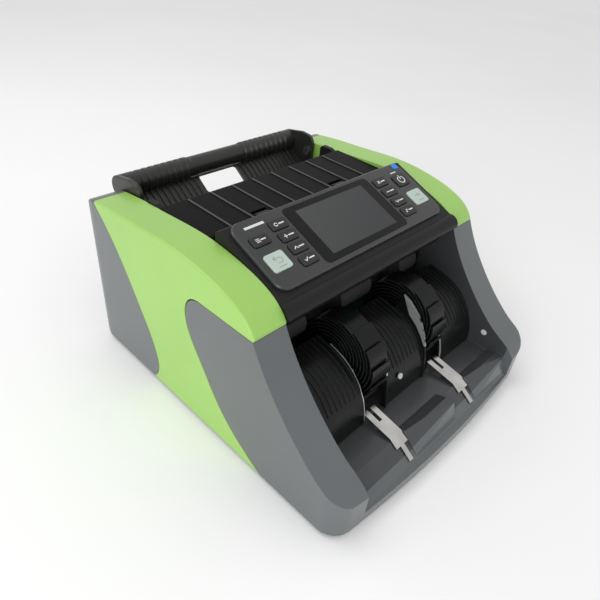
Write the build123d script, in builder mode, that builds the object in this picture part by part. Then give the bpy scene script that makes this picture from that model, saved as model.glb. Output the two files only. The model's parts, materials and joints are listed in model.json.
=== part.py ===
from build123d import *
import os
from math import cos, radians, sin

# Banknote counting machine.  Millimetres, +Z up, front towards -Y, operator's right towards +X.
# The origin is the centre of the footprint, on the surface the machine stands on.

os.makedirs("parts", exist_ok=True)

# ---------------------------------------------------------------- driving dimensions
WIDTH = 248.0
DEPTH = 290.0
HALF = WIDTH / 2
REAR = DEPTH / 2
FRONT = -DEPTH / 2
WALL = 2.5
GAP = 0.4
BODY_BOTTOM = 4.0
BASE_T = 2.5
POCKET_HALF = 97.0
BLACK_HALF = POCKET_HALF - GAP
FLOOR = 25.0
LIP_LEDGE = 12.5
FRONT_BOW = 7.0
FRONT_CORNER = 16.0
REAR_CORNER = 20.0
FRAME_X = 101.0
FRAME_T = 1.5
SHAFT_R = 4.0
BORE_R = SHAFT_R + 0.05

# shaft centres as (Y, Z)
IMPELLER_AT = (-62.0, 60.5)
TRANSPORT_AT = (-26.0, 84.0)
FEED_AT = (2.0, 103.0)
PICKUP_AT = (24.5, 132.3)
PINCH_AT = (-17.0, 64.5)
MOTOR_AT = (50.0, 42.0)

IMPELLER_R = 35.0
IMPELLER_X = 37.0
IMPELLER_W = 19.0
HUB_R = 11.0
FINGERS = 14
FINGER_T = 1.1
FINGER_WRAP = -200
PLATE_X = 41.5
PLATE_W = 13.0

# control panel: a plane that slopes up towards the rear
PANEL_SLOPE = 21.4
PANEL_Y = -18.5
PANEL_Z = 141.6
PANEL_TILT = (-sin(radians(PANEL_SLOPE)), cos(radians(PANEL_SLOPE)))
OVERLAY_W = 183.0
OVERLAY_D = 59.0
OVERLAY_T = 2.5
KEY_PITCH = 10.9
KEY_COLUMN_X = 56.3
OUTER_KEY_X = 77.8
SMALL_KEY = (15.0, 8.5)
BIG_KEY = (16.0, 14.5)
KEY_PROUD = 1.2
KEY_CLEAR = 0.3
LENS = (92.0, 52.0)

# carrying handle
HINGE_AT = (110.0, 130.0)
BAR_AT = (136.0, 133.5)
BAR_R = 9.0
RING_PITCH = 6.25
FIRST_RING = 79.1
SPIGOT_R = 5.0
CHEEK_OUT = 95.8
CHEEK_T = 3.5
CHEEK_IN = CHEEK_OUT - CHEEK_T
PIN_R = 2.5

# back wall, with a combined mains inlet and switch
BASE_REAR = 126.0
PORT_X = -52.0
PORT_Z = 31.0
PORT_Y = 142.2
PORT_W = 50.0
PORT_H = 27.0
INLET_X = PORT_X - 9.5
SWITCH_X = PORT_X + 15.0
ROCKER_TILT = 7.0
TRUNNION_R = 1.5

TRAY_TOP = 141.0
TRAY_FRONT = 20.0
TRAY_REAR = 77.0
RIB_PITCH = 20.9


def keep(part, name):
    """Label one finished piece and write it as its own STEP file."""
    part.label = name
    export_step(part, f"parts/{name}.step")


def mirrored(part):
    """The same piece on the other side of the machine."""
    with BuildPart() as other:
        add(mirror(part, about=Plane.YZ, mode=Mode.PRIVATE))
    return other.part


def across(x):
    """A drawing plane square to the machine's width, with local x = Y and local y = Z."""
    return Plane.YZ.offset(x)


def panel_plane(height):
    """A plane parallel to the control panel, at a height above the housing's top face."""
    base = Plane(origin=(0, PANEL_Y, PANEL_Z), x_dir=(1, 0, 0), z_dir=(0, *PANEL_TILT))
    return base.offset(height)


# ---------------------------------------------------------------- shared outlines, as (Y, Z)
COVER_TOP = [(122, 135.5), (103, 138), (65, 141), (20, 144), (-13, 141.2), (-35, 136), (-47, 130.5), (-57, 120)]
FRONT_SEAM = [(-4, 117), (9, 109), (10.5, 92), (-4, 65), (-26, 34), (-48, 15.5), (-68, BODY_BOTTOM)]
REAR_SEAM = [(59, BODY_BOTTOM), (51, 21), (53, 33), (70, 67), (92, 102), (122, 135.5)]
REAR_EDGE = [(133, 132), (140.5, 123.5), (143.5, 110), (142, 60), (137.5, 12), (130, BODY_BOTTOM)]
PILLAR = [(-143, 25), (-138, 33), (-131, 39), (-119, 46), (-107, 55), (-80, 82.5), (-66, 101.5), (-57, 117.6)]
GUIDE = [(-98, FLOOR), (-97, 36), (-94, 46), (-88, 57), (-80, 65.5), (-70, 71.5), (-58, 75), (-46, 77)]


def shifted(points, dy, dz):
    return [(y + dy, z + dz) for y, z in points]


def plan_outline(inset):
    """Footprint of the housing: bowed front, rounded corners."""
    side = HALF - inset
    shoulder = FRONT + FRONT_BOW + inset
    with BuildSketch() as sketch:
        with BuildLine():
            Polyline((side, shoulder), (side, REAR - inset), (-side, REAR - inset), (-side, shoulder))
            ThreePointArc((-side, shoulder), (0, FRONT + inset), (side, shoulder))
        make_face()
        fillet(sketch.vertices().group_by(Axis.Y)[-1], REAR_CORNER - inset)
        fillet(sketch.vertices().group_by(Axis.Y)[0], FRONT_CORNER - inset)
    return sketch.sketch


def footprint_block(inset):
    """A tall block on the footprint, used to round the housing's corners in plan."""
    with BuildPart() as block:
        add(plan_outline(inset))
        extrude(amount=200)
    return block.part


def under_band(y_low, y_high):
    """Area below the top band's inner face, between two depths."""
    top = shifted(COVER_TOP, 0, -WALL)
    with BuildSketch() as sketch:
        with BuildLine():
            Spline(*top)
            Polyline(top[-1], (-90, top[-1][1]), (-90, 0), (140, 0), (140, top[0][1]), top[0])
        make_face()
        with Locations(((y_low + y_high) / 2, 90)):
            Rectangle(y_high - y_low, 180, mode=Mode.INTERSECT)
    return sketch.sketch


def belt_outline(first, r_first, second, r_second):
    """Outline of a belt that runs round two pulleys."""
    with BuildSketch() as sketch:
        with Locations(first):
            Circle(r_first)
        with Locations(second):
            Circle(r_second)
        make_hull()
    return sketch.sketch


# ---------------------------------------------------------------- housing
def side_cover():
    """Yellow-green cover: outer side wall, flat top band and a short inner flange."""
    with BuildPart() as cover:
        with BuildSketch(across(POCKET_HALF)):
            with BuildLine():
                Spline(*COVER_TOP)
                Polyline((-57, 120), (-57, 118), FRONT_SEAM[0])
                Spline(*FRONT_SEAM)
                Line(FRONT_SEAM[-1], REAR_SEAM[0])
                Spline(*REAR_SEAM)
            make_face()
        extrude(amount=HALF - POCKET_HALF)
        crease = cover.edges().filter_by(lambda e: e.center().X > HALF - 0.1).sort_by(Axis.Z)[-1]
        fillet(crease, 2.0)
        with BuildSketch(across(POCKET_HALF + WALL)):
            add(under_band(-90, 140))
        extrude(amount=HALF - POCKET_HALF - 2 * WALL, mode=Mode.SUBTRACT)
        with BuildSketch(across(POCKET_HALF - 1)):
            add(under_band(-90, -30))
            with Locations((50, 53)):
                Rectangle(170, 106)
            with Locations(PICKUP_AT):
                Circle(SHAFT_R + 2)
            with Locations(HINGE_AT):
                Circle(PIN_R)
        extrude(amount=WALL + 1.5, mode=Mode.SUBTRACT)
    return cover.part


def rear_corner_block(inset, inner_x):
    """Everything behind the rear seam and outside inner_x, out to the rounded rear corner."""
    edge = shifted(REAR_EDGE, -inset, -inset)
    seam = shifted(REAR_SEAM, GAP, 0)
    crown = (seam[-1][0], seam[-1][1] - inset)
    with BuildPart() as block:
        with BuildSketch(across(inner_x)):
            with BuildLine():
                Spline(crown, *edge)
                if inset:
                    Polyline(edge[-1], (20, edge[-1][1]), (20, crown[1]), crown)
                else:
                    Line(edge[-1], seam[0])
                    Spline(*seam)
            make_face()
        extrude(amount=HALF - POCKET_HALF)
        add(footprint_block(inset), mode=Mode.INTERSECT)
    return block.part


def rear_panel():
    """Grey swoosh panel: the rear part of the side wall, wrapped round the rear corner."""
    with BuildPart() as lower_hollow:
        add(rear_corner_block(WALL, POCKET_HALF - 1))
        with Locations((POCKET_HALF, 90, 47)):
            Box(60, 160, 94, mode=Mode.INTERSECT)
    with BuildPart() as panel:
        add(rear_corner_block(0, POCKET_HALF))
        crease = panel.edges().filter_by(lambda e: e.center().X > HALF - 6).sort_by(Axis.Z)[-1]
        fillet(crease, 2.0)
        add(rear_corner_block(WALL, POCKET_HALF + WALL), mode=Mode.SUBTRACT)
        add(lower_hollow.part, mode=Mode.SUBTRACT)
    return panel.part


def front_frame():
    """Grey front: swoosh side walls, two curved pillars, stacker floor and bowed lip."""
    seam = shifted(FRONT_SEAM, -1.1, -GAP)
    pillar_in = shifted(PILLAR, WALL, -1.5)
    side_cut = HALF - WALL - (POCKET_HALF + WALL)
    with BuildPart() as cavity:
        with BuildSketch(across(POCKET_HALF + WALL)):
            with BuildLine():
                Polyline((-142.5, 0), (-142.5, 18), pillar_in[0])
                Spline(*pillar_in)
                Polyline(pillar_in[-1], (pillar_in[-1][0], 130), (30, 130), (30, 0), (-142.5, 0))
            make_face()
        extrude(amount=side_cut)
        add(footprint_block(WALL), mode=Mode.INTERSECT)
        mirror(about=Plane.YZ)
    with BuildPart() as under_floor:
        with BuildSketch(across(-POCKET_HALF)):
            with BuildLine():
                Polyline((20, FLOOR - WALL), (-117, FLOOR - WALL), (-136.5, 10), (-142.5, 9.5))
                Polyline((-142.5, 9.5), (-142.5, 0), (20, 0), (20, FLOOR - WALL))
            make_face()
        extrude(amount=2 * POCKET_HALF)
        add(footprint_block(WALL), mode=Mode.INTERSECT)
    with BuildPart() as plate_bay:
        with Locations((0, -75, 3.5)):
            Box(2 * (POCKET_HALF + WALL), 134, 7)
        add(footprint_block(WALL), mode=Mode.INTERSECT)
    with BuildPart() as frame:
        with BuildSketch(across(-HALF)):
            with BuildLine():
                Polyline((-145, BODY_BOTTOM), (-145, 12), PILLAR[0])
                Spline(*PILLAR)
                Polyline(PILLAR[-1], seam[0])
                Spline(*seam)
                Line(seam[-1], (-145, BODY_BOTTOM))
            make_face()
        extrude(amount=WIDTH)
        add(footprint_block(0), mode=Mode.INTERSECT)
        with BuildSketch(across(-POCKET_HALF)):
            with BuildLine():
                Polyline((20, FLOOR), (-122, FLOOR), (-139.5, LIP_LEDGE), (-150, LIP_LEDGE))
                Polyline((-150, LIP_LEDGE), (-150, 130), (20, 130), (20, FLOOR))
            make_face()
        extrude(amount=2 * POCKET_HALF, mode=Mode.SUBTRACT)
        add(cavity.part, mode=Mode.SUBTRACT)
        add(under_floor.part, mode=Mode.SUBTRACT)
        with Locations((0, -8, 65)):
            Box(2 * (POCKET_HALF + WALL), 46, 130, mode=Mode.SUBTRACT)
        with Locations((0, -32, 12)):
            Box(2 * POCKET_HALF, 40, 30, mode=Mode.SUBTRACT)
        add(plate_bay.part, mode=Mode.SUBTRACT)
        add(lip_stops())
        with BuildSketch(across(-POCKET_HALF - 5)):
            with Locations(IMPELLER_AT):
                Circle(SHAFT_R + 2)
        extrude(amount=2 * POCKET_HALF + 10, mode=Mode.SUBTRACT)
        with BuildSketch(across(-POCKET_HALF - 5)):
            with Locations((-110, 40)):
                Circle(2.6)
        extrude(amount=2 * POCKET_HALF + 10, mode=Mode.SUBTRACT)
    return frame.part


def lip_stops():
    """Two leaf-shaped stops on the lip, each rising from a note plate towards the right."""
    rise = 3.5
    with BuildPart() as stops:
        for x in (-PLATE_X, PLATE_X):
            tip = Vector(x - 1.5, -138.0, LIP_LEDGE)
            ridge_end = Vector(x + 58.5, -133.0, FLOOR + rise)
            shoulder = Vector(x + 29.5, -127.0, FLOOR + rise)
            facet = Plane(origin=tip, x_dir=ridge_end - tip, z_dir=(ridge_end - tip).cross(shoulder - tip))
            right_end = min(x + 58.5, POCKET_HALF + 0.5)
            with BuildPart(mode=Mode.PRIVATE) as stop:
                with BuildSketch(across(x + PLATE_W / 2 + 0.5)):
                    with BuildLine():
                        Polyline((-116, FLOOR - 0.5), (-126, FLOOR + rise), (-133, FLOOR + rise))
                        Polyline((-133, FLOOR + rise), (-138.5, LIP_LEDGE), (-116, LIP_LEDGE))
                        Line((-116, LIP_LEDGE), (-116, FLOOR - 0.5))
                    make_face()
                extrude(amount=right_end - x - PLATE_W / 2 - 0.5)
                with BuildSketch(facet):
                    Rectangle(300, 300)
                extrude(amount=60, mode=Mode.SUBTRACT)
            add(stop.part)
    return stops.part


def base_plate():
    """Bottom plate with vent slots."""
    with BuildPart() as plate:
        with BuildSketch(Plane.XY.offset(BODY_BOTTOM)):
            add(plan_outline(WALL + GAP))
            with Locations((0, -DEPTH / 2 + BASE_REAR)):
                Rectangle(WIDTH, DEPTH, mode=Mode.INTERSECT)
            with GridLocations(12, 40, 9, 2):
                SlotOverall(26, 4, rotation=90, mode=Mode.SUBTRACT)
        extrude(amount=BASE_T)
        with Locations(*[(x, y, BODY_BOTTOM) for x in (-92, 92) for y in (-72, 72)]):
            Hole(1.6, depth=BASE_T * 3)
    return plate.part


def rubber_feet():
    """Four round feet under the corners."""
    with BuildPart() as feet:
        with Locations(*[(x, y, BODY_BOTTOM / 2) for x in (-98, 98) for y in (-108, 116)]):
            Cylinder(9, BODY_BOTTOM)
        chamfer(feet.edges().group_by(Axis.Z)[0], 0.8)
    return feet.part


def case_screws():
    """Four pan-head screws in the bottom plate."""
    with BuildPart() as screws:
        with BuildSketch(Plane.XY.offset(BODY_BOTTOM)):
            with Locations(*[(x, y) for x in (-92, 92) for y in (-72, 72)]):
                Circle(1.5)
        extrude(amount=10)
        with BuildSketch(Plane.XY.offset(BODY_BOTTOM)):
            with Locations(*[(x, y) for x in (-92, 92) for y in (-72, 72)]):
                Circle(3.2)
        extrude(amount=-1.8)
    return screws.part


def rear_cover():
    """Back wall that leans in at the foot, with vents and a raised plate for inlet and switch."""
    outer = [(142.8, 93.4), (141.6, 50), (137.5, 14), (130, BODY_BOTTOM), (BASE_REAR + GAP, BODY_BOTTOM)]
    foot = BODY_BOTTOM + WALL
    inner = [(BASE_REAR + GAP, foot), (129, foot), (135, 15), (139.1, 50), (140.3, 93.4)]
    with BuildPart() as cover:
        with BuildSketch(across(-BLACK_HALF)):
            with BuildLine():
                Polyline(*outer, *inner, outer[0])
            make_face()
        extrude(amount=2 * BLACK_HALF)
        with BuildSketch(Plane.XZ.offset(-PORT_Y)):
            with Locations((PORT_X, PORT_Z)):
                RectangleRounded(PORT_W + 16, PORT_H + 8, 3)
        extrude(amount=4.5)
        with BuildSketch(Plane.XZ.offset(-REAR)):
            with Locations((PORT_X, PORT_Z)):
                Rectangle(PORT_W + 0.4, PORT_H + 0.4)
            with Locations((38, 52)):
                with GridLocations(8, 0, 8, 1):
                    SlotOverall(36, 3.5, rotation=90)
        extrude(amount=20, mode=Mode.SUBTRACT)
    return cover.part


def rear_deck():
    """Black deck under the folded handle: sloping floor, front wall and a block before each cheek."""
    front = TRAY_REAR + GAP
    with BuildPart() as deck:
        with BuildSketch(across(-BLACK_HALF)):
            with BuildLine():
                Polyline((front, 103.5), (front, 137), (front + WALL, 137), (front + WALL, 105.5), (96, 103))
                Polyline((96, 103), (143, 96.6), (143, 94.1), (96, 100.5), (front, 103.5))
            make_face()
        extrude(amount=2 * BLACK_HALF)
        for x in (-BLACK_HALF, CHEEK_IN):
            with BuildSketch(across(x)):
                with BuildLine():
                    Polyline((front, 103.5), (front, 139), (82, 141), (91, 141), (93.5, 138.5), (93.5, 102))
                    Line((93.5, 102), (front, 103.5))
                make_face()
            extrude(amount=BLACK_HALF - CHEEK_IN)
    return deck.part


def hopper_tray():
    """Note tray: flat plate with eight guide ribs, roller slots and a rear skirt."""
    with BuildPart() as tray:
        with BuildSketch(across(-BLACK_HALF)):
            with BuildLine():
                Polyline((TRAY_FRONT + 3, TRAY_TOP), (TRAY_REAR - 2, TRAY_TOP))
                RadiusArc((TRAY_REAR - 2, TRAY_TOP), (TRAY_REAR, TRAY_TOP - 2), 2)
                Polyline((TRAY_REAR, TRAY_TOP - 2), (TRAY_REAR, 117.5), (TRAY_REAR - WALL, 117.5))
                Polyline((TRAY_REAR - WALL, 117.5), (TRAY_REAR - WALL, TRAY_TOP - WALL))
                Line((TRAY_REAR - WALL, TRAY_TOP - WALL), (TRAY_FRONT, TRAY_TOP - WALL))
                RadiusArc((TRAY_FRONT, TRAY_TOP - WALL), (TRAY_FRONT + 3, TRAY_TOP), 3.2)
            make_face()
        extrude(amount=2 * BLACK_HALF)
        with BuildSketch(Plane.XY.offset(TRAY_TOP)):
            with Locations((0, (TRAY_FRONT + TRAY_REAR) / 2 + 0.5)):
                with GridLocations(RIB_PITCH, 0, 8, 1):
                    Rectangle(1.2, TRAY_REAR - TRAY_FRONT - 7)
        extrude(amount=0.8)
        with Locations((-42, TRAY_FRONT + 4.3, TRAY_TOP), (42, TRAY_FRONT + 4.3, TRAY_TOP)):
            Box(15, 16, 8, mode=Mode.SUBTRACT)
    return tray.part


def panel_housing():
    """Black housing that carries the control panel and bridges the front as a brow."""
    outer = [(-59.5, 121), (-59, 125), (-56, 128.2), (-50.5, 129.0)]
    rear_top = (9.0, 129.0 + 59.5 * sin(radians(PANEL_SLOPE)) / cos(radians(PANEL_SLOPE)))
    with BuildPart() as housing:
        with BuildSketch(across(-BLACK_HALF)):
            with BuildLine():
                Line((12.5, 121), outer[0])
                Spline(*outer)
                Polyline(outer[-1], rear_top, (12.5, rear_top[1] - 1.8), (12.5, 121))
            make_face()
        extrude(amount=2 * BLACK_HALF)
        with BuildSketch(across(-BLACK_HALF + WALL)):
            with BuildLine():
                Polyline((10, 118), (-56.8, 118), (-56.6, 124), (-53, 125.9), (-50, 126.6))
                Line((-50, 126.6), (rear_top[0] - 0.5, rear_top[1] - 2.9))
                Polyline((rear_top[0] - 0.5, rear_top[1] - 2.9), (10, rear_top[1] - 3.6), (10, 118))
            make_face()
        extrude(amount=2 * (BLACK_HALF - WALL), mode=Mode.SUBTRACT)
        with BuildSketch(across(-BLACK_HALF)):
            with BuildLine():
                Polyline((-57.5, 121), (-44, 100), (-36, 97.6), (-36, 99.2), (-43, 101.6), (-55.5, 121))
                Line((-55.5, 121), (-57.5, 121))
            make_face()
        extrude(amount=2 * BLACK_HALF)
        with BuildSketch(panel_plane(-WALL - 2)):
            with Locations((0, 0)):
                Rectangle(84.5, 47)
            with Locations((-66.5, -1), (66.5, -1)):
                Rectangle(41, 48)
        extrude(amount=WALL + 3, mode=Mode.SUBTRACT)
    return housing.part


# ---------------------------------------------------------------- control panel
def key_layout():
    """Name, centre on the panel and size of every key."""
    rows = [16.3 - KEY_PITCH * n for n in range(4)]
    layout = []
    for side, sign in (("left", -1), ("right", 1)):
        for number, v in enumerate(rows, start=1):
            layout.append((f"key_{side}_{number}", (sign * KEY_COLUMN_X, v), SMALL_KEY))
    layout.append(("menu_key", (-OUTER_KEY_X, 10.2), SMALL_KEY))
    layout.append(("power_key", (OUTER_KEY_X, 11.2), (15.0, 12.0)))
    layout.append(("return_key", (-OUTER_KEY_X, -8.8), BIG_KEY))
    layout.append(("start_key", (OUTER_KEY_X, -8.8), BIG_KEY))
    return layout


def panel_overlay():
    """Rounded raised panel with the display window and a hole for each key."""
    with BuildPart() as overlay:
        with BuildSketch(panel_plane(0)):
            RectangleRounded(OVERLAY_W, OVERLAY_D, 9)
            RectangleRounded(LENS[0] + 0.4, LENS[1] + 0.4, 4.2, mode=Mode.SUBTRACT)
            for name, place, size in key_layout():
                with Locations(place):
                    RectangleRounded(size[0] + 2 * KEY_CLEAR, size[1] + 2 * KEY_CLEAR, 2.3, mode=Mode.SUBTRACT)
        extrude(amount=OVERLAY_T)
        chamfer(overlay.faces().sort_by(Axis((0, 0, 0), (0, *PANEL_TILT)))[-1].outer_wire().edges(), 0.8)
    return overlay.part


def screen_lens():
    """Glossy dark window over the display."""
    with BuildPart() as lens:
        with BuildSketch(panel_plane(0)):
            RectangleRounded(*LENS, 4)
        extrude(amount=OVERLAY_T + 0.2)
    return lens.part


def lcd_module():
    """Display behind the lens."""
    with BuildPart() as lcd:
        with BuildSketch(panel_plane(-6.3)):
            Rectangle(82, 44)
        extrude(amount=6.2)
    return lcd.part


def control_board():
    """Circuit board behind the keys, with one push switch under each key."""
    with BuildPart() as board:
        with BuildSketch(panel_plane(-8.8)):
            with Locations((0, 2)):
                Rectangle(180, 44)
        extrude(amount=1.6)
        with BuildSketch(panel_plane(-7.2)):
            with Locations(*[place for name, place, size in key_layout()]):
                Rectangle(6, 6)
        extrude(amount=1.0)
    return board.part


def panel_key(place, size):
    """Key cap with a retaining flange under the overlay and a stem down to its switch."""
    with BuildPart() as key:
        with BuildSketch(panel_plane(-KEY_CLEAR)):
            with Locations(place):
                RectangleRounded(*size, 2)
        extrude(amount=OVERLAY_T + KEY_PROUD + KEY_CLEAR)
        top = key.faces().sort_by(Axis((0, 0, 0), (0, *PANEL_TILT)))[-1]
        fillet(top.edges(), 0.6)
        with BuildSketch(panel_plane(-1.5)):
            with Locations(place):
                Rectangle(size[0] + 1.4, size[1] + 1.4)
        extrude(amount=1.5 - KEY_CLEAR)
        with BuildSketch(panel_plane(-5.3)):
            with Locations(place):
                Circle(2)
        extrude(amount=3.9)
    return key.part


def film_tab():
    """Pull tab of the clear film that still covers the overlay's rear right corner."""
    with BuildPart() as tab:
        with BuildSketch(panel_plane(OVERLAY_T)):
            with Locations((85.5, OVERLAY_D / 2 - 4)):
                RectangleRounded(6, 5, 1)
        extrude(amount=0.3)
    return tab.part


# ---------------------------------------------------------------- carrying handle
def cheek_outline():
    """Side view of a handle cheek: high rounded front, and the grip's own round at the rear."""
    corners = [(112, 137.5, 8), (119, 143, 3), (*BAR_AT, BAR_R), (118, 112.5, 4), (110, 113, 5)]
    with BuildSketch() as sketch:
        for y, z, radius in corners:
            with Locations((y, z)):
                Circle(radius)
        make_hull()
    return sketch.sketch


def handle_frame():
    """Two cheeks joined by a sloping web, with a finger window and upright ribs."""
    web = Plane(origin=(0, 122.5, 118), x_dir=(1, 0, 0), z_dir=(0, -0.574, 0.819))
    with BuildPart() as frame:
        for x in (-CHEEK_OUT, CHEEK_IN):
            with BuildSketch(across(x)):
                add(cheek_outline())
            extrude(amount=CHEEK_T)
            rim = frame.faces().filter_by(Axis.X).filter_by(lambda f: abs(abs(f.center().X) - CHEEK_OUT) < 0.01)
            fillet(rim.sort_by(Axis.X)[0 if x < 0 else -1].outer_wire().edges(), 1.2)
        with BuildSketch(web):
            Rectangle(2 * CHEEK_IN, 31)
            with Locations((0, 3)):
                RectangleRounded(42, 18, 3, mode=Mode.SUBTRACT)
        extrude(amount=-WALL)
        with BuildSketch(web):
            with Locations((-56, 1.5), (56, 1.5)):
                with GridLocations(5.4, 0, 12, 1):
                    Rectangle(1.3, 24)
        extrude(amount=1.3)
        with BuildSketch(across(-CHEEK_OUT - 1)):
            with Locations(BAR_AT):
                Circle(SPIGOT_R + 0.01)
        extrude(amount=2 * CHEEK_OUT + 2, mode=Mode.SUBTRACT)
        with BuildSketch(across(-CHEEK_IN)):
            with Locations(BAR_AT):
                Circle(BAR_R + 0.01)
        extrude(amount=2 * CHEEK_IN, mode=Mode.SUBTRACT)
        with BuildSketch(across(-CHEEK_OUT)):
            with Locations(HINGE_AT):
                Circle(PIN_R + 0.05)
        extrude(amount=2 * CHEEK_OUT, mode=Mode.SUBTRACT)
    return frame.part


def handle_grip():
    """Grip bar: full and ringed towards each end, slimmer in the middle, with a spigot at each end."""
    profile = [(CHEEK_OUT, 0), (CHEEK_OUT, SPIGOT_R), (CHEEK_IN, SPIGOT_R), (CHEEK_IN, BAR_R)]
    for ring in range(9):
        groove = FIRST_RING - RING_PITCH * ring
        profile += [(groove + 1.4, BAR_R), (groove + 0.6, BAR_R - 1.1)]
        profile += [(groove - 0.6, BAR_R - 1.1), (groove - 1.4, BAR_R)]
    profile[-1] = (FIRST_RING - 8 * RING_PITCH - 1.4, BAR_R - 0.7)
    half = [(x, BAR_AT[1] + radius) for x, radius in profile]
    other = [(-x, z) for x, z in reversed(half)]
    with BuildPart() as grip:
        with BuildSketch(Plane(origin=(0, BAR_AT[0], 0), x_dir=(1, 0, 0), z_dir=(0, -1, 0))):
            with BuildLine():
                Polyline(*half, *other, half[0])
            make_face()
        revolve(axis=Axis((0, *BAR_AT), (1, 0, 0)))
    return grip.part


def handle_pins():
    """Two headed hinge pins, fixed in the inner flanges of the side covers."""
    with BuildPart() as pins:
        for side in (-1, 1):
            with BuildSketch(across(side * (CHEEK_IN - 1.2))):
                with Locations(HINGE_AT):
                    Circle(PIN_R)
            extrude(amount=side * (POCKET_HALF + WALL - CHEEK_IN + 1.2))
            with BuildSketch(across(side * (CHEEK_IN - 1.5))):
                with Locations(HINGE_AT):
                    Circle(PIN_R + 1.7)
            extrude(amount=side * 1.2)
    return pins.part


# ---------------------------------------------------------------- stacker
def guide_face(points, thickness):
    """Curved guide wall between its front face and a parallel rear face."""
    inner = shifted(points, thickness * 0.8, -thickness * 0.9)
    inner[0] = (points[0][0] + thickness, FLOOR)
    with BuildSketch() as sketch:
        with BuildLine():
            Spline(*points)
            Line(points[-1], inner[-1])
            Spline(*inner)
            Line(inner[0], points[0])
        make_face()
    return sketch.sketch


def stacker_guide(x_low, x_high, fin_sides):
    """Curved black guide with fine ribs over its upper half, and a fin at each side that asks for one."""
    pitch = 4.7
    ribs = shifted(GUIDE, -0.5, 0.4)
    ribs[0] = (GUIDE[0][0] - 0.5, FLOOR)
    count = int((x_high - x_low) // pitch)
    first = (x_low + x_high) / 2 - pitch * (count - 1) / 2
    with BuildPart() as guide:
        with BuildSketch(across(x_low)):
            add(guide_face(GUIDE, WALL))
        extrude(amount=x_high - x_low)
        for n in range(count):
            with BuildSketch(across(first + pitch * n - 0.35)):
                add(guide_face(ribs, 1.6))
                with Locations((-70, 76)):
                    Rectangle(80, 48, mode=Mode.INTERSECT)
            extrude(amount=0.7)
        for x in fin_sides:
            with BuildSketch(across(x)):
                with BuildLine():
                    Polyline((-66, 89), (-73, 86), (-82, 78.5))
                    Spline((-82, 78.5), (-91, 64), (-96.5, 46), (-99.5, FLOOR))
                    Polyline((-99.5, FLOOR), (-95, FLOOR))
                    Spline((-95, FLOOR), (-91.5, 44), (-85, 57), (-75, 66))
                    Polyline((-75, 66), (-60, 72), (-66, 89))
                make_face()
            extrude(amount=1.4)
    return guide.part


def note_plate(x):
    """Thin steel leaf that carries a note from the wheel down to the lip: forked tail, narrow tongue."""
    thick = 0.8
    line = [(-95, 31.5), (-121, 26.6), (-129, 21.2), (-138, 14.8)]
    with BuildPart() as plate:
        with BuildSketch(across(x - PLATE_W / 2)):
            with BuildLine():
                Polyline(*line, *[(y, z + thick) for y, z in reversed(line)], line[0])
            make_face()
        extrude(amount=PLATE_W)
        with BuildSketch(across(x - PLATE_W / 2)):
            with BuildLine():
                Polyline((-95, FLOOR), (-95, 32), (-96, 32), (-96, FLOOR), (-95, FLOOR))
            make_face()
        extrude(amount=PLATE_W)
        with Locations((x, -98, 30)):
            Box(3.2, 18, 20, mode=Mode.SUBTRACT)
        for side in (-1, 1):
            with Locations((x + side * 4.6, -135, 20)):
                Box(5.2, 14, 24, mode=Mode.SUBTRACT)
    return plate.part


def finger_point(t):
    """A point along a finger's spiral, from its root (t = 0) to its tip (t = 1)."""
    root = HUB_R - 1
    radius = root + (IMPELLER_R - 0.7 - root) * (1.25 * t - 0.25 * t * t)
    angle = radians(FINGER_WRAP * t)
    return radius * cos(angle), radius * sin(angle)


def impeller(x):
    """Stacking wheel: hub with long spiral fingers."""
    with BuildSketch() as finger:
        with BuildLine():
            Spline(*[finger_point(t) for t in (0, 0.2, 0.4, 0.6, 0.8, 1)])
        trace(line_width=FINGER_T)
    with BuildPart() as wheel:
        with BuildSketch(across(x - IMPELLER_W / 2)):
            with Locations(IMPELLER_AT):
                Circle(HUB_R)
                with PolarLocations(0, FINGERS):
                    add(finger.sketch)
                Circle(SHAFT_R, mode=Mode.SUBTRACT)
        extrude(amount=IMPELLER_W)
    return wheel.part


def sensor_lenses():
    """Pale optical sensor windows: one in each pocket wall and one in the centre guide."""
    with BuildPart() as lenses:
        for x in (-POCKET_HALF - WALL, POCKET_HALF):
            with BuildSketch(across(x)):
                with Locations((-110, 40)):
                    Circle(2.6)
            extrude(amount=WALL)
        with BuildSketch(Plane(origin=(-8, -95.6, 45), x_dir=(1, 0, 0), z_dir=(0, -0.95, 0.3))):
            Circle(2.3)
        extrude(amount=1.2)
    return lenses.part


# ---------------------------------------------------------------- note path
def side_frame():
    """Steel side frame that carries every shaft."""
    with BuildPart() as frame:
        with BuildSketch(across(FRAME_X)):
            with BuildLine():
                Polyline((-86, 7), (-86, 52), (-62, 82), (-44, 104), (-30, 116), (8, 137))
                Polyline((8, 137), (46, 138.5), (70, 132), (70, 7), (-86, 7))
            make_face()
            with Locations(IMPELLER_AT, TRANSPORT_AT, FEED_AT, PICKUP_AT, PINCH_AT):
                Circle(BORE_R, mode=Mode.SUBTRACT)
            with Locations(MOTOR_AT):
                Circle(6, mode=Mode.SUBTRACT)
        extrude(amount=FRAME_T)
    return frame.part


def rod(centre, radius, x_low, x_high):
    """Round bar across the machine."""
    with BuildPart() as bar:
        with BuildSketch(across(x_low)):
            with Locations(centre):
                Circle(radius)
        extrude(amount=x_high - x_low)
    return bar.part


def shaft_with_pulleys(centre, x_low, x_high, pulleys):
    """Shaft with flanged belt pulleys; each pulley is (x, radius)."""
    with BuildPart() as shaft:
        add(rod(centre, SHAFT_R, x_low, x_high))
        for x, radius in pulleys:
            with BuildSketch(across(x)):
                with Locations(centre):
                    Circle(radius)
            extrude(amount=5)
    return shaft.part


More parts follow.
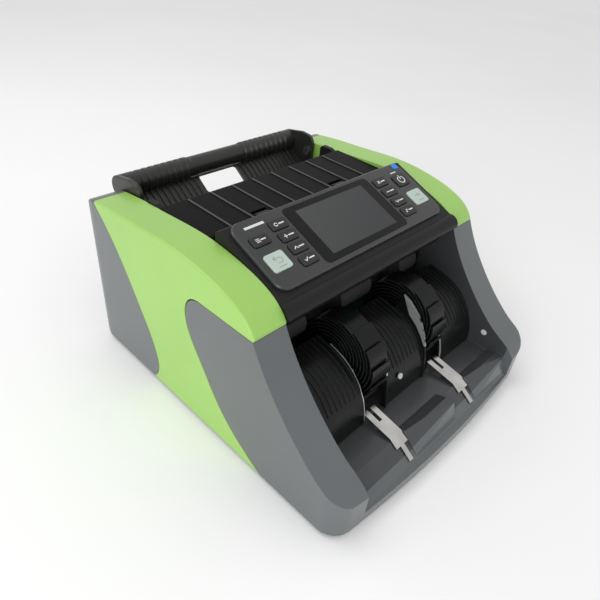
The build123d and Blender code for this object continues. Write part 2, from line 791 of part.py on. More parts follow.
def rollers(centre, radius, spans):
    """Rubber rollers on one shaft."""
    with BuildPart() as tyres:
        for low, high in spans:
            with BuildSketch(across(low)):
                with Locations(centre):
                    Circle(radius)
                    Circle(SHAFT_R, mode=Mode.SUBTRACT)
            extrude(amount=high - low)
    return tyres.part


def belt(x, first, r_first, second, r_second):
    """Flat belt round two pulleys, just clear of them."""
    with BuildPart() as loop:
        with BuildSketch(across(x + 0.5)):
            add(belt_outline(first, r_first + 1.7, second, r_second + 1.7))
            add(belt_outline(first, r_first + 0.3, second, r_second + 0.3), mode=Mode.SUBTRACT)
        extrude(amount=4)
    return loop.part


def drive_motor():
    """Motor can on a foot, its axis across the machine."""
    with BuildPart() as motor:
        with BuildSketch(across(-58)):
            with Locations(MOTOR_AT):
                Circle(19)
                Circle(BORE_R, mode=Mode.SUBTRACT)
        extrude(amount=60)
        with BuildSketch(Plane.XY.offset(BODY_BOTTOM + BASE_T)):
            with Locations((-28, MOTOR_AT[0])):
                Rectangle(56, 30)
        extrude(amount=18)
    return motor.part


# ---------------------------------------------------------------- electronics
def main_board():
    """Main circuit board on standoffs, with chips and connectors."""
    with BuildPart() as board:
        with BuildSketch(Plane.XY.offset(12)):
            with Locations((50, 10)):
                Rectangle(84, 70)
        extrude(amount=1.6)
        with BuildSketch(Plane.XY.offset(BODY_BOTTOM + BASE_T)):
            with Locations((50, 10)):
                with GridLocations(76, 62, 2, 2):
                    Circle(2.5)
        extrude(amount=12 - BODY_BOTTOM - BASE_T)
        with BuildSketch(Plane.XY.offset(13.6)):
            with Locations((40, 14)):
                Rectangle(16, 16)
            with Locations((68, 20)):
                Rectangle(9, 22)
            with Locations((30, -16), (52, -16), (74, -16)):
                Rectangle(14, 6)
        extrude(amount=5)
    return board.part


def power_supply():
    """Mains transformer: laminated core with its winding."""
    with BuildPart() as supply:
        with BuildSketch(Plane.XY.offset(BODY_BOTTOM + BASE_T)):
            with Locations((50, 100)):
                Rectangle(64, 34)
        extrude(amount=44)
        with BuildSketch(Plane.XY.offset(BODY_BOTTOM + BASE_T + 7)):
            with Locations((50, 100)):
                RectangleRounded(46, 56, 6)
        extrude(amount=30)
    return supply.part


def power_inlet():
    """Combined mains module: bezel, three-pin inlet recess and a well for the switch rocker."""
    with BuildPart() as inlet:
        with BuildSketch(Plane.XZ.offset(-PORT_Y - 1.5)):
            with Locations((PORT_X, PORT_Z)):
                RectangleRounded(PORT_W + 5, PORT_H + 4, 2)
        extrude(amount=1.5 - 0.05)
        with BuildSketch(Plane.XZ.offset(-PORT_Y - 0.5)):
            with Locations((PORT_X, PORT_Z)):
                Rectangle(PORT_W, PORT_H)
        extrude(amount=22)
        with BuildSketch(Plane.XZ.offset(-PORT_Y - 2)):
            with Locations((INLET_X, PORT_Z)):
                RectangleRounded(24, 17, 2)
        extrude(amount=18, mode=Mode.SUBTRACT)
        with BuildSketch(Plane.XZ.offset(-PORT_Y - 2)):
            with Locations((SWITCH_X, PORT_Z)):
                Rectangle(13.6, 20.6)
        extrude(amount=11, mode=Mode.SUBTRACT)
        with BuildSketch(across(SWITCH_X - 7.8)):
            with Locations((PORT_Y - 1.5, PORT_Z)):
                Circle(TRUNNION_R + 0.05)
        extrude(amount=15.6, mode=Mode.SUBTRACT)
        with BuildSketch(Plane.XZ.offset(-PORT_Y + 17)):
            with Locations((INLET_X - 7, PORT_Z - 2), (INLET_X, PORT_Z + 2), (INLET_X + 7, PORT_Z - 2)):
                Rectangle(2, 4)
        extrude(amount=-11)
    return inlet.part


def power_rocker():
    """Rocker of the mains switch on two trunnions, resting with its lower half pressed in."""
    pivot = PORT_Y - 1.5
    along = (0, cos(radians(ROCKER_TILT)), sin(radians(ROCKER_TILT)))
    with BuildPart() as rocker:
        with BuildSketch(Plane(origin=(SWITCH_X - 6.4, pivot, PORT_Z), x_dir=along, z_dir=(1, 0, 0))):
            with BuildLine():
                Polyline((-5, -8), (3.4, -9), (2, 0), (3.4, 9), (-5, 8), (-5, -8))
            make_face()
        extrude(amount=12.8)
        with BuildSketch(across(SWITCH_X - 7.5)):
            with Locations((pivot, PORT_Z)):
                Circle(TRUNNION_R)
        extrude(amount=15)
    return rocker.part


# ---------------------------------------------------------------- build and write every piece
right_cover = side_cover()
keep(right_cover, "right_side_cover")
keep(mirrored(right_cover), "left_side_cover")

right_rear = rear_panel()
keep(right_rear, "right_rear_panel")
keep(mirrored(right_rear), "left_rear_panel")

keep(front_frame(), "front_frame")
keep(base_plate(), "base_plate")
keep(rubber_feet(), "rubber_feet")
keep(case_screws(), "case_screws")
keep(rear_cover(), "rear_cover")
keep(rear_deck(), "rear_deck")
keep(hopper_tray(), "hopper_tray")
keep(panel_housing(), "panel_housing")
keep(panel_overlay(), "panel_overlay")
keep(screen_lens(), "screen_lens")
keep(lcd_module(), "lcd_module")
keep(control_board(), "control_board")
keep(film_tab(), "film_tab")
for key_name, key_place, key_size in key_layout():
    keep(panel_key(key_place, key_size), key_name)

keep(handle_frame(), "handle_frame")
keep(handle_grip(), "handle_grip")
keep(handle_pins(), "handle_pins")

keep(stacker_guide(-BLACK_HALF, -49.5, []), "stacker_guide_left")
keep(stacker_guide(49.5, BLACK_HALF, []), "stacker_guide_right")
keep(stacker_guide(-24, 24, [-25.4, 24]), "stacker_guide_centre")
keep(note_plate(-PLATE_X), "note_plate_left")
keep(note_plate(PLATE_X), "note_plate_right")
keep(impeller(-IMPELLER_X), "impeller_left")
keep(impeller(IMPELLER_X), "impeller_right")
keep(sensor_lenses(), "sensor_lenses")

right_frame = side_frame()
keep(right_frame, "right_side_frame")
keep(mirrored(right_frame), "left_side_frame")

keep(shaft_with_pulleys(IMPELLER_AT, -103.5, 110, [(104.2, 14)]), "impeller_shaft")
keep(shaft_with_pulleys(TRANSPORT_AT, -119.5, 103.2, [(-119.5, 9)]), "transport_shaft")
feed_pulleys = [(-119.5, 9), (-111, 14), (104.2, 9), (111.5, 6.5)]
keep(shaft_with_pulleys(FEED_AT, -119.5, 117, feed_pulleys), "feed_shaft")
keep(shaft_with_pulleys(PICKUP_AT, -103.5, 117, [(111.5, 6.5)]), "pickup_shaft")
keep(shaft_with_pulleys(MOTOR_AT, -111, 5, [(-111, 8)]), "motor_shaft")
keep(rollers(TRANSPORT_AT, 13, [(-80, -56), (-18, 18), (56, 80)]), "transport_rollers")
keep(rollers(FEED_AT, 15, [(-54, -30), (30, 54)]), "feed_rollers")
keep(rollers(PICKUP_AT, 9.5, [(-48, -36), (36, 48)]), "pickup_rollers")
pinch_sleeves = rollers(PINCH_AT, 8, [(-80, -56), (-18, 18), (56, 80)])
keep(rod(PINCH_AT, SHAFT_R, -103.5, 103.5) + pinch_sleeves, "pinch_roller")
keep(drive_motor(), "drive_motor")
keep(belt(-111, MOTOR_AT, 8, FEED_AT, 14), "drive_belt")
keep(belt(-119.5, FEED_AT, 9, TRANSPORT_AT, 9), "transport_belt")
keep(belt(104.2, FEED_AT, 9, IMPELLER_AT, 14), "timing_belt")
keep(belt(111.5, FEED_AT, 6.5, PICKUP_AT, 6.5), "pickup_belt")

keep(main_board(), "main_board")
keep(power_supply(), "power_supply")
keep(power_inlet(), "power_inlet")
keep(power_rocker(), "power_rocker")
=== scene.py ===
import json
import math

import bmesh
import bpy
from mathutils import Matrix, Vector


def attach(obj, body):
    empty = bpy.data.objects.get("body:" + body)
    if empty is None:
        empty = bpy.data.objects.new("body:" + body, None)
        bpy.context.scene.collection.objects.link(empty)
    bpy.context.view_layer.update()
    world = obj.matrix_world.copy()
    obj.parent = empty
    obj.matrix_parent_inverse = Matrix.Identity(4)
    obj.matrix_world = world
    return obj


# Looks, light and camera of the banknote counting machine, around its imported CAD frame.
# The scene is in metres; MM turns millimetres into metres.
MM = 0.001

# ---------------------------------------------------------------- camera
CAM_AZIMUTH = math.radians(-48.878)
CAM_ELEVATION = math.radians(36.790)
CAM_ROLL = math.radians(5.900)
CAM_FOCAL_PX = 545.015
IMAGE_PX = 600
SENSOR_MM = 36.0
CAM_POSITION = Vector((-287.14, -232.21, 330.78)) * MM

# ---------------------------------------------------------------- light and floor, in metres and watts
WORLD_STRENGTH = 0.75
KEY_LIGHT = {"place": (-0.3, 0.5, 1.1), "size": 0.9, "power": 3.5}
FRONT_LIGHT = {"place": (-1.1, -0.5, 0.45), "size": 0.8, "power": 6}
LIGHT_TARGET = (0, 0, 0.06)
FLOOR_HALF = 4.0

# ---------------------------------------------------------------- panel and keys, as in the CAD, in millimetres
PANEL_SLOPE = math.radians(21.4)
PANEL_ORIGIN = Vector((0, -18.5, 141.6)) * MM
OVERLAY_T = 2.5
LENS_TOP = OVERLAY_T + 0.2
KEY_TOP = 3.7
KEY_ROWS = [16.3 - 10.9 * n for n in range(4)]
KEY_COLUMN_U = 56.3
OUTER_KEY_U = 77.8
MENU_KEY_V = 10.2
POWER_KEY_V = 11.2
LARGE_KEY_V = -8.8

# printed marks: how high they stand and how far they start below the surface
MARK_HEIGHT = 0.06
SUNK = 0.01
DISPLAY_SIZE = (72, 42)
TITLE_STRIP_SIZE = (17, 2.0)
TITLE_STRIP_AT = (-73, 22.5)
POWER_STRIP_SIZE = (7, 1.0)
POWER_STRIP_V = 20.4

# strippers on the centre guide's fins, and thin bright strips on the side guides' edges that stand in for a
# painted highlight, as (Y, Z) seen from the side
FIN_FRONT = [(-66, 89.1), (-73, 86.1), (-82.1, 78.6), (-87.2, 71.6), (-91.1, 64.1), (-94.4, 55)]
FIN_BACK = [(-93, 54.6), (-88.6, 61.5), (-82, 69), (-74.5, 74.5)]
FIN_T = 1.6
HIGHLIGHT_STRIP_FRONT = [(-98.2, 29), (-97.4, 36), (-94.5, 46), (-88.5, 57.2), (-80.4, 66), (-70.2, 72.1), (-58, 75.6)]
HIGHLIGHT_STRIP_BACK = [(-58, 74.6), (-70, 71.1), (-79.6, 65.1), (-87.6, 56.6), (-93.6, 45.8), (-96.5, 36), (-97.3, 29)]
HIGHLIGHT_STRIP_T = 0.7

# ---------------------------------------------------------------- zones with painted shade or a painted highlight, in metres
POCKET_HALF_X = 0.0972
POCKET_HALF_Y = 0.1331
TRAY_RIB_Z = 0.1413

# ---------------------------------------------------------------- settings that several materials share
NOISE_LOW, NOISE_HIGH = 0.3, 0.7
DRIFT_SCALE = 14.0
GRAIN_HEIGHT = 0.0002
LINE_HEIGHT = 0.0001
# reach of the paler edges, which are partly wear and partly painted highlight
WEAR_HIGHLIGHT_STARTS, WEAR_HIGHLIGHT_ENDS, WEAR_HIGHLIGHT_MOST = 0.99, 0.80, 0.35


def panel_matrix(u, v, w):
    """Matrix that puts a piece drawn flat in X and Y on the sloping panel, at u, v, w in millimetres."""
    tilt = Matrix.Rotation(PANEL_SLOPE, 4, "X")
    return Matrix.Translation(PANEL_ORIGIN) @ tilt @ Matrix.Translation(Vector((u, v, w)) * MM)


# ---------------------------------------------------------------- material helpers
def new_material(name):
    """A node material, with its nodes, its links and its principled shader."""
    material = bpy.data.materials.new(name)
    material.use_nodes = True
    nodes = material.node_tree.nodes
    shader = nodes["Principled BSDF"]
    return material, nodes, material.node_tree.links, shader


def object_coords(nodes):
    return nodes.new("ShaderNodeTexCoord").outputs["Object"]


def noise(nodes, links, coords, scale, detail, roughness=0.55):
    node = nodes.new("ShaderNodeTexNoise")
    node.inputs["Scale"].default_value = scale
    node.inputs["Detail"].default_value = detail
    node.inputs["Roughness"].default_value = roughness
    links.new(coords, node.inputs["Vector"])
    return node.outputs["Fac"]


def spread(nodes, links, value, low, high):
    """Maps the middle of a noise's range onto low..high."""
    node = nodes.new("ShaderNodeMapRange")
    node.inputs["From Min"].default_value = NOISE_LOW
    node.inputs["From Max"].default_value = NOISE_HIGH
    node.inputs["To Min"].default_value = low
    node.inputs["To Max"].default_value = high
    links.new(value, node.inputs["Value"])
    return node.outputs["Result"]


def ramp(nodes, links, value, stops):
    """Colour ramp between two stops, each a position and a colour."""
    node = nodes.new("ShaderNodeValToRGB")
    for element, (position, color) in zip(node.color_ramp.elements, stops):
        element.position = position
        element.color = (*color, 1)
    links.new(value, node.inputs["Fac"])
    return node.outputs["Color"]


def tint(nodes, links, value, dark, light):
    """Colour that goes from dark to light over the middle of a noise's range."""
    return ramp(nodes, links, value, [(NOISE_LOW, dark), (NOISE_HIGH, light)])


def scaled(color, factor):
    return tuple(min(1.0, c * factor) for c in color)


def axis_test(nodes, links, coords, axis, limit, kind):
    """1 where the distance along an axis from the object's origin is above or below a limit in metres."""
    parts = nodes.new("ShaderNodeSeparateXYZ")
    links.new(coords, parts.inputs["Vector"])
    size = nodes.new("ShaderNodeMath")
    size.operation = "ABSOLUTE"
    links.new(parts.outputs[axis], size.inputs[0])
    test = nodes.new("ShaderNodeMath")
    test.operation = kind
    test.inputs[1].default_value = limit
    links.new(size.outputs["Value"], test.inputs[0])
    return test.outputs["Value"]


def zone_mask(nodes, links, coords, tests):
    """1 where all of the axis tests hold."""
    mask = axis_test(nodes, links, coords, *tests[0])
    for test in tests[1:]:
        both = nodes.new("ShaderNodeMath")
        both.operation = "MULTIPLY"
        links.new(mask, both.inputs[0])
        links.new(axis_test(nodes, links, coords, *test), both.inputs[1])
        mask = both.outputs["Value"]
    return mask


def mix_color(nodes, links, factor, first, color):
    """A colour socket blended towards a fixed colour."""
    mix = nodes.new("ShaderNodeMix")
    mix.data_type = "RGBA"
    mix.inputs["B"].default_value = (*color, 1)
    links.new(factor, mix.inputs["Factor"])
    links.new(first, mix.inputs["A"])
    return mix.outputs["Result"]


def edge_wear_and_highlight(nodes, links, rounded_normal):
    """Mask for paler edges, partly wear and partly painted highlight: 0 on flat faces, rising where the bevel
    node's normal leaves the face's own.
    """
    geometry = nodes.new("ShaderNodeNewGeometry")
    facing = nodes.new("ShaderNodeVectorMath")
    facing.operation = "DOT_PRODUCT"
    links.new(rounded_normal, facing.inputs[0])
    links.new(geometry.outputs["Normal"], facing.inputs[1])
    rubbed_and_highlit = nodes.new("ShaderNodeMapRange")
    rubbed_and_highlit.inputs["From Min"].default_value = WEAR_HIGHLIGHT_STARTS
    rubbed_and_highlit.inputs["From Max"].default_value = WEAR_HIGHLIGHT_ENDS
    rubbed_and_highlit.inputs["To Max"].default_value = WEAR_HIGHLIGHT_MOST
    links.new(facing.outputs["Value"], rubbed_and_highlit.inputs["Value"])
    return rubbed_and_highlit.outputs["Result"]


def add_bump(nodes, links, shader, height, strength, distance):
    """Fine relief on the shader's normal; returns the bump node."""
    bump = nodes.new("ShaderNodeBump")
    bump.inputs["Strength"].default_value = strength
    bump.inputs["Distance"].default_value = distance
    links.new(height, bump.inputs["Height"])
    links.new(bump.outputs["Normal"], shader.inputs["Normal"])
    return bump


def moulded(name, color, roughness, grain, depth, edge, drift=0.08, coat=0.0, specular=0.5, wear_and_highlight_gain=1.3,
            zone=None):
    """Moulded plastic: fine grain, faint colour drift, uneven gloss, rounded edges a little paler, partly from
    wear and partly as a painted highlight.

    A zone is a list of axis tests and the colour, painted shade or painted highlight, that the plastic gets
    where all of them hold."""
    material, nodes, links, shader = new_material(name)
    shader.inputs["Specular IOR Level"].default_value = specular
    coords = object_coords(nodes)
    broad = noise(nodes, links, coords, DRIFT_SCALE, 3.0)
    fine = noise(nodes, links, coords, grain, 3.0)
    base = tint(nodes, links, broad, scaled(color, 1 - drift), scaled(color, 1 + drift))
    if zone:
        tests, painted_light_color = zone
        base = mix_color(nodes, links, zone_mask(nodes, links, coords, tests), base, painted_light_color)
    rounded = nodes.new("ShaderNodeBevel")
    rounded.samples = 4
    rounded.inputs["Radius"].default_value = edge
    # edges mixed towards a paler colour: partly wear, partly painted highlight, stronger with a higher gain
    wear_and_highlight_color = scaled(tuple(c + 0.02 for c in color), wear_and_highlight_gain)
    worn_and_highlit = mix_color(nodes, links, edge_wear_and_highlight(nodes, links, rounded.outputs["Normal"]), base, wear_and_highlight_color)
    links.new(worn_and_highlit, shader.inputs["Base Color"])
    links.new(spread(nodes, links, fine, roughness - 0.05, roughness + 0.07), shader.inputs["Roughness"])
    bump = add_bump(nodes, links, shader, fine, depth, GRAIN_HEIGHT)
    links.new(rounded.outputs["Normal"], bump.inputs["Normal"])
    shader.inputs["Coat Weight"].default_value = coat
    shader.inputs["Coat Roughness"].default_value = 0.15
    return material


def brushed(name, color, roughness=0.25, stretch=(1, 60, 60), metallic=1.0):
    """Rolled or turned metal with fine lines along one direction and faint stains."""
    material, nodes, links, shader = new_material(name)
    coords = object_coords(nodes)
    mapping = nodes.new("ShaderNodeMapping")
    mapping.inputs["Scale"].default_value = stretch
    links.new(coords, mapping.inputs["Vector"])
    lines = noise(nodes, links, mapping.outputs["Vector"], 40.0, 6.0, 0.7)
    stains = noise(nodes, links, coords, 60.0, 4.0)
    links.new(tint(nodes, links, stains, scaled(color, 0.82), scaled(color, 1.1)), shader.inputs["Base Color"])
    links.new(spread(nodes, links, lines, roughness - 0.08, roughness + 0.15), shader.inputs["Roughness"])
    add_bump(nodes, links, shader, lines, 0.12, LINE_HEIGHT)
    shader.inputs["Metallic"].default_value = metallic
    return material


def printed(name, color):
    """Pad-printed ink: matte, slightly uneven in cover."""
    material, nodes, links, shader = new_material(name)
    cover = noise(nodes, links, object_coords(nodes), 2500.0, 3.0)
    links.new(tint(nodes, links, cover, scaled(color, 0.85), scaled(color, 1.05)), shader.inputs["Base Color"])
    links.new(spread(nodes, links, cover, 0.45, 0.65), shader.inputs["Roughness"])
    return material


def display_glass_painted_reflection():
    """The display seen through its window: dark grey glass, a little paler towards the front left as a painted
    reflection.
    """
    material, nodes, links, shader = new_material("display_glass_painted_reflection")
    coords = object_coords(nodes)
    grain = noise(nodes, links, coords, 2600.0, 3.0)
    # painted reflection: a gradient makes the glass paler towards one side
    painted_reflection_fade = nodes.new("ShaderNodeTexGradient")
    mapping = nodes.new("ShaderNodeMapping")
    mapping.inputs["Location"].default_value = (0.5, 0.2, 0)
    mapping.inputs["Rotation"].default_value = (0, 0, math.radians(35))
    mapping.inputs["Scale"].default_value = (11, 11, 11)
    links.new(coords, mapping.inputs["Vector"])
    links.new(mapping.outputs["Vector"], painted_reflection_fade.inputs["Vector"])
    stops = [(0.0, (0.050, 0.055, 0.053)), (1.0, (0.022, 0.023, 0.025))]
    shade = ramp(nodes, links, painted_reflection_fade.outputs["Fac"], stops)
    links.new(shade, shader.inputs["Base Color"])
    links.new(spread(nodes, links, grain, 0.18, 0.24), shader.inputs["Roughness"])
    return material


def paint_node(name, material):
    node = frame["nodes"][name]
    node.data.materials.clear()
    node.data.materials.append(material)


# ---------------------------------------------------------------- frame and materials
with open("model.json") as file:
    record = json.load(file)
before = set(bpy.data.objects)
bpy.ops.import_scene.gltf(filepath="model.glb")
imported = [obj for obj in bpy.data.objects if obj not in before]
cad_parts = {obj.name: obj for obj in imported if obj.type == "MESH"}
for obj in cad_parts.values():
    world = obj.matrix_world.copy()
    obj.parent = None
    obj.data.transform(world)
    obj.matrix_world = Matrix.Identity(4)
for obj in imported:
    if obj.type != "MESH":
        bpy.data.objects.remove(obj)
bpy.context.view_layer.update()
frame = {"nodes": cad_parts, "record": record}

GREEN = moulded("cover_green", (0.315, 0.565, 0.115), 0.40, 1400, 0.05, 0.0006, 0.03, 0.25)
# the stacker pocket inside the frame gets a darker grey: painted shade in the recess
GREY = moulded("shell_grey", (0.105, 0.115, 0.120), 0.36, 1400, 0.07, 0.0006, 0.05, 0.35,
               zone=([("X", POCKET_HALF_X, "LESS_THAN"), ("Y", POCKET_HALF_Y, "LESS_THAN")],
                     (0.042, 0.044, 0.046)))
BLACK = moulded("housing_black", (0.010, 0.0105, 0.010), 0.45, 1200, 0.06, 0.0005, specular=0.22)
# hopper tray rib tops above TRAY_RIB_Z are made paler: painted highlight
TRAY = moulded("tray_black", (0.004, 0.0045, 0.004), 0.42, 1200, 0.06, 0.0004, specular=0.06, wear_and_highlight_gain=2.0,
               zone=([("Z", TRAY_RIB_Z, "GREATER_THAN")], (0.10, 0.11, 0.10)))
# overlay, keys, handle and guides get high gains: strong painted highlights along their edges
OVERLAY = moulded("overlay_black", (0.022, 0.023, 0.024), 0.28, 1800, 0.03, 0.0007, coat=0.3, wear_and_highlight_gain=7.0)
SCREEN = moulded("screen_dark", (0.004, 0.004, 0.005), 0.10, 3000, 0.01, 0.0003, 0.05, specular=0.22)
KEY = moulded("key_black", (0.013, 0.013, 0.014), 0.40, 2200, 0.04, 0.0005, wear_and_highlight_gain=6.0)
KEY_PALE = moulded("key_pale", (0.46, 0.56, 0.50), 0.45, 2200, 0.04, 0.0003)
HANDLE = moulded("handle_black", (0.019, 0.019, 0.016), 0.34, 1200, 0.10, 0.0006, wear_and_highlight_gain=5.0)
GUIDE = moulded("guide_black", (0.005, 0.0055, 0.0055), 0.30, 1400, 0.03, 0.0003, specular=0.22, wear_and_highlight_gain=8.0)
RUBBER = moulded("rubber_dark", (0.02, 0.02, 0.02), 0.75, 900, 0.25, 0.0003, 0.2)
BOARD = moulded("circuit_board", (0.02, 0.14, 0.06), 0.35, 500, 0.1, 0.0001, 0.3)
FILM = moulded("film_blue", (0.02, 0.22, 0.75), 0.2, 900, 0.05, 0.0001)
INLET = moulded("inlet_black", (0.012, 0.012, 0.013), 0.35, 1200, 0.05, 0.0004)
SENSOR = moulded("sensor_pale", (0.55, 0.57, 0.6), 0.2, 1200, 0.02, 0.0002)
DISPLAY = moulded("display_module", (0.05, 0.05, 0.055), 0.4, 900, 0.05, 0.0002)
MOTOR = moulded("motor_paint", (0.03, 0.03, 0.034), 0.4, 800, 0.08, 0.0006)
COIL = moulded("transformer", (0.12, 0.07, 0.03), 0.5, 400, 0.3, 0.0006, 0.3)
STEEL = brushed("steel", (0.56, 0.56, 0.55))
PLATE = brushed("plate_steel", (0.62, 0.61, 0.59), 0.18, (60, 1, 60))
FIN = brushed("stripper_metal", (0.50, 0.52, 0.51), 0.3, (60, 1, 60), 0.6)
INK = printed("ink_pale", (0.72, 0.74, 0.74))
INK_SHADE = printed("ink_shade", (0.30, 0.36, 0.34))

SLOT_LOOK = {
    "cover_green": GREEN, "shell_grey": GREY, "housing_black": BLACK, "overlay_black": OVERLAY,
    "screen_dark": SCREEN, "display_module": DISPLAY, "circuit_board": BOARD, "film_blue": FILM,
    "key_black": KEY, "key_pale": KEY_PALE, "handle_black": HANDLE, "steel": STEEL,
    "guide_black": GUIDE, "sensor_pale": SENSOR, "rubber_dark": RUBBER, "motor_metal": MOTOR,
    "transformer": COIL, "inlet_black": INLET,
}
for subpart in frame["record"]["subparts"]:
    paint_node(subpart["node"], SLOT_LOOK[subpart["material_slot"]])
for plate in ("note_plate_left", "note_plate_right"):
    paint_node(plate, PLATE)
paint_node("hopper_tray", TRAY)


# ---------------------------------------------------------------- thin pieces
def pushed_mesh(outlines, push):
    """Closed mesh of flat outlines, given as points in metres, each pushed along a vector."""
    mesh = bmesh.new()
    for outline in outlines:
        face = mesh.faces.new([mesh.verts.new(point) for point in outline])
        pushed = bmesh.ops.extrude_face_region(mesh, geom=[face])
        far = [v for v in pushed["geom"] if isinstance(v, bmesh.types.BMVert)]
        bmesh.ops.translate(mesh, verts=far, vec=push)
    bmesh.ops.recalc_face_normals(mesh, faces=mesh.faces)
    return mesh


def add_piece(name, mesh, material):
    """Makes a finished mesh an object of the scene."""
    data = bpy.data.meshes.new(name)
    mesh.to_mesh(data)
    mesh.free()
    data.materials.append(material)
    piece = bpy.data.objects.new(name, data)
    bpy.context.scene.collection.objects.link(piece)
    return piece


def print_mark(name, outlines, place, body, material):
    """Thin raised ink shapes on the panel; outlines are in millimetres about the mark's own centre."""
    flat = [[(x * MM, y * MM, 0) for x, y in outline] for outline in outlines]
    mesh = pushed_mesh(flat, (0, 0, MARK_HEIGHT * MM))
    mesh.transform(panel_matrix(*place))
    piece = add_piece(name, mesh, material)
    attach(piece, body)


def side_profile(name, outline, x_low, x_high):
    """A thin bright plate drawn in side view, as (Y, Z) in millimetres, between two positions in X."""
    flat = [(x_low * MM, y * MM, z * MM) for y, z in outline]
    piece = add_piece(name, pushed_mesh([flat], ((x_high - x_low) * MM, 0, 0)), FIN)
    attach(piece, "housing")


# ---------------------------------------------------------------- outlines of the symbols, in millimetres
def stroke_outline(points, width):
    """Closed outline of a round-ended stroke along a polyline, in the XY plane."""
    half = width / 2
    vectors = [Vector(p) for p in points]
    left, right = [], []
    for i, p in enumerate(vectors):
        before = (p - vectors[i - 1]).normalized() if i else None
        after = (vectors[i + 1] - p).normalized() if i + 1 < len(vectors) else None
        along = (before or after) + (after or before)
        along.normalize()
        normal = Vector((-along.y, along.x))
        segment = after or before
        reach = half / max(0.4, normal.dot(Vector((-segment.y, segment.x))))
        left.append(p + normal * reach)
        right.append(p - normal * reach)
    end = (vectors[-1] - vectors[-2]).normalized()
    start = (vectors[0] - vectors[1]).normalized()
    cap = [math.radians(a) for a in (-60, -30, 0, 30, 60)]

    def round_cap(centre, direction):
        base = math.atan2(direction.y, direction.x)
        return [centre + half * Vector((math.cos(base + a), math.sin(base + a))) for a in cap]

    return right + round_cap(vectors[-1], end) + left[::-1] + round_cap(vectors[0], start)


def arc_points(radius, start, stop, steps=24, centre=(0, 0)):
    angles = [math.radians(start + (stop - start) * i / steps) for i in range(steps + 1)]
    return [(centre[0] + radius * math.cos(a), centre[1] + radius * math.sin(a)) for a in angles]


def bar(x, y, length, width):
    return stroke_outline([(x - length / 2, y), (x + length / 2, y)], width)


def rectangle(width, depth):
    x, y = width / 2, depth / 2
    return [(-x, -y), (x, -y), (x, y), (-x, y)]


def moved(outlines, dx):
    return [[(x + dx, y) for x, y in outline] for outline in outlines]


def small_symbols():
    """Generic symbols for the eight small keys, from the rear row to the front."""
    plus = [bar(0, 0, 2.6, 0.7), stroke_outline([(0, -1.3), (0, 1.3)], 0.7)]
    minus = [bar(0, 0, 2.8, 0.8)]
    up = [stroke_outline([(-1.5, -0.7), (0, 0.9), (1.5, -0.7)], 0.7)]
    down = [stroke_outline([(-1.5, 0.7), (0, -0.9), (1.5, 0.7)], 0.7)]
    ring = [stroke_outline(arc_points(1.3, 20, 330), 0.6)]
    tick = [stroke_outline([(-1.4, 0), (-0.4, -1.1), (1.6, 1.2)], 0.7)]
    cross = [stroke_outline([(-1.1, -1.1), (1.1, 1.1)], 0.7), stroke_outline([(-1.1, 1.1), (1.1, -1.1)], 0.7)]
    step = [stroke_outline([(-1.4, -1), (-0.2, -1), (-0.2, 1), (1.4, 1)], 0.6)]
    return {"left": [ring, plus, up, tick], "right": [cross, minus, down, step]}


# ---------------------------------------------------------------- printed marks on the keys
KEY_MARK_W = KEY_TOP - SUNK
for side, sign in (("left", -1), ("right", 1)):
    for row, symbol in enumerate(small_symbols()[side]):
        marks = moved(symbol, -2.6) + [bar(2.2, 0, 4.2, 1.0)]
        place = (sign * KEY_COLUMN_U, KEY_ROWS[row], KEY_MARK_W)
        print_mark(f"mark_{side}_{row + 1}", marks, place, f"key_{side}_{row + 1}", INK)
menu_lines = [bar(-2.0, y, 3.0, 0.5) for y in (-1.2, 0, 1.2)] + [bar(2.4, 0, 3.6, 1.0)]
print_mark("mark_menu", menu_lines, (-OUTER_KEY_U, MENU_KEY_V, KEY_MARK_W), "menu_key", INK)
power_ring = [stroke_outline(arc_points(3.4, 125, 415), 0.9), stroke_outline([(0, 0.6), (0, 4.4)], 0.9)]
print_mark("mark_power", power_ring, (OUTER_KEY_U, POWER_KEY_V, KEY_MARK_W), "power_key", INK)
back_arrow = [stroke_outline([(-2.8, 2.2), *arc_points(2.0, 90, -90, 12, (1.6, 0.2)), (-1.0, -1.8)], 0.6),
              stroke_outline([(-1.3, 3.7), (-2.9, 2.2), (-1.3, 0.7)], 0.6), bar(0.5, -4.6, 6.0, 0.8)]
print_mark("mark_return", back_arrow, (-OUTER_KEY_U, LARGE_KEY_V, KEY_MARK_W), "return_key", INK_SHADE)
start_arrow = [stroke_outline([(-2.6, 1.2), (2.6, 1.2)], 0.6),
               stroke_outline([(0.9, 2.9), (2.7, 1.2), (0.9, -0.5)], 0.6), bar(0, -4.2, 6.0, 0.8)]
print_mark("mark_start", start_arrow, (OUTER_KEY_U, LARGE_KEY_V, KEY_MARK_W), "start_key", INK_SHADE)


# ---------------------------------------------------------------- bright strippers, and bright strips on the side guides as a painted highlight
for side, x_fin, x_highlight_strip in (("left", -25.5, -50.1), ("right", 23.9, 49.4)):
    side_profile(f"stripper_{side}", FIN_FRONT + FIN_BACK, x_fin, x_fin + FIN_T)
    # a thin bright strip along each side guide's edge: a painted highlight
    side_profile(f"guide_highlight_strip_{side}", HIGHLIGHT_STRIP_FRONT + HIGHLIGHT_STRIP_BACK, x_highlight_strip, x_highlight_strip + HIGHLIGHT_STRIP_T)

# ---------------------------------------------------------------- display and plain strips on the panel
STRIP_W = OVERLAY_T - SUNK
print_mark("display_area", [rectangle(*DISPLAY_SIZE)], (0, 0, LENS_TOP - SUNK), "housing", display_glass_painted_reflection())
print_mark("title_strip", [rectangle(*TITLE_STRIP_SIZE)], (*TITLE_STRIP_AT, STRIP_W), "housing", INK)
print_mark("power_strip", [rectangle(*POWER_STRIP_SIZE)], (OUTER_KEY_U, POWER_STRIP_V, STRIP_W), "housing", INK)


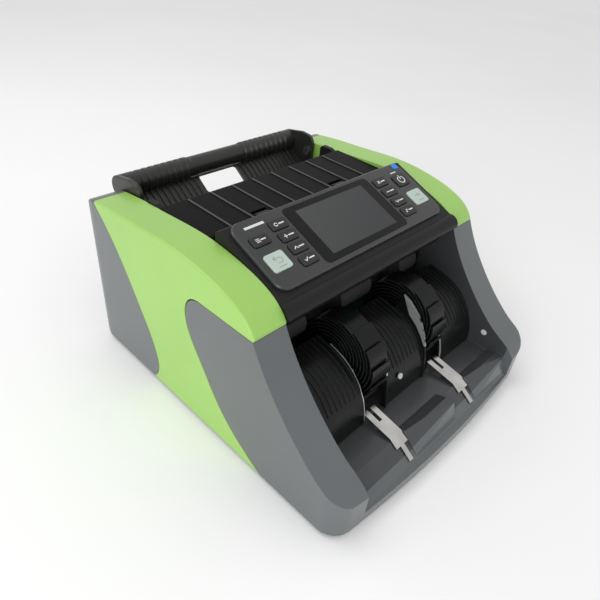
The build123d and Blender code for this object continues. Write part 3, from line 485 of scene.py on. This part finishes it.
# ---------------------------------------------------------------- floor, lights and camera
def soft_light(name, place, size, power):
    """White square area light that faces the machine."""
    lamp = bpy.data.lights.new(name, "AREA")
    lamp.energy = power
    lamp.size = size
    holder = bpy.data.objects.new(name, lamp)
    holder.location = place
    holder.rotation_mode = "QUATERNION"
    holder.rotation_quaternion = (Vector(LIGHT_TARGET) - Vector(place)).to_track_quat("-Z", "Y")
    bpy.context.scene.collection.objects.link(holder)


def make_floor():
    """Plain pale floor, well past the edges of the picture."""
    mesh = bmesh.new()
    bmesh.ops.create_grid(mesh, x_segments=8, y_segments=8, size=FLOOR_HALF)
    material, nodes, links, shader = new_material("floor_pale")
    broad = noise(nodes, links, object_coords(nodes), 2.0, 3.0)
    links.new(tint(nodes, links, broad, (0.92, 0.92, 0.92), (0.95, 0.95, 0.95)), shader.inputs["Base Color"])
    shader.inputs["Roughness"].default_value = 0.9
    floor = add_piece("floor", mesh, material)


def make_world():
    """Even white surroundings."""
    world = bpy.data.worlds.new("studio")
    world.use_nodes = True
    background = world.node_tree.nodes["Background"]
    background.inputs["Color"].default_value = (1, 1, 1, 1)
    background.inputs["Strength"].default_value = WORLD_STRENGTH
    bpy.context.scene.world = world


def make_camera():
    """Camera at the photo's angle, with its roll."""
    level = math.cos(CAM_ELEVATION)
    back = Vector((math.sin(CAM_AZIMUTH) * level, -math.cos(CAM_AZIMUTH) * level, math.sin(CAM_ELEVATION)))
    right = Vector((math.cos(CAM_AZIMUTH), math.sin(CAM_AZIMUTH), 0))
    up = back.cross(right)
    image_right = math.cos(CAM_ROLL) * right + math.sin(CAM_ROLL) * up
    image_up = -math.sin(CAM_ROLL) * right + math.cos(CAM_ROLL) * up
    data = bpy.data.cameras.new("camera")
    data.sensor_width = SENSOR_MM
    data.lens = CAM_FOCAL_PX * SENSOR_MM / IMAGE_PX
    camera = bpy.data.objects.new("camera", data)
    turn = Matrix((image_right, image_up, back)).transposed()
    camera.matrix_world = Matrix.Translation(CAM_POSITION) @ turn.to_4x4()
    bpy.context.scene.collection.objects.link(camera)
    bpy.context.scene.camera = camera


make_floor()
make_camera()
make_world()
soft_light("key_light", **KEY_LIGHT)
soft_light("front_light", **FRONT_LIGHT)
bpy.context.scene.view_settings.view_transform = "Standard"
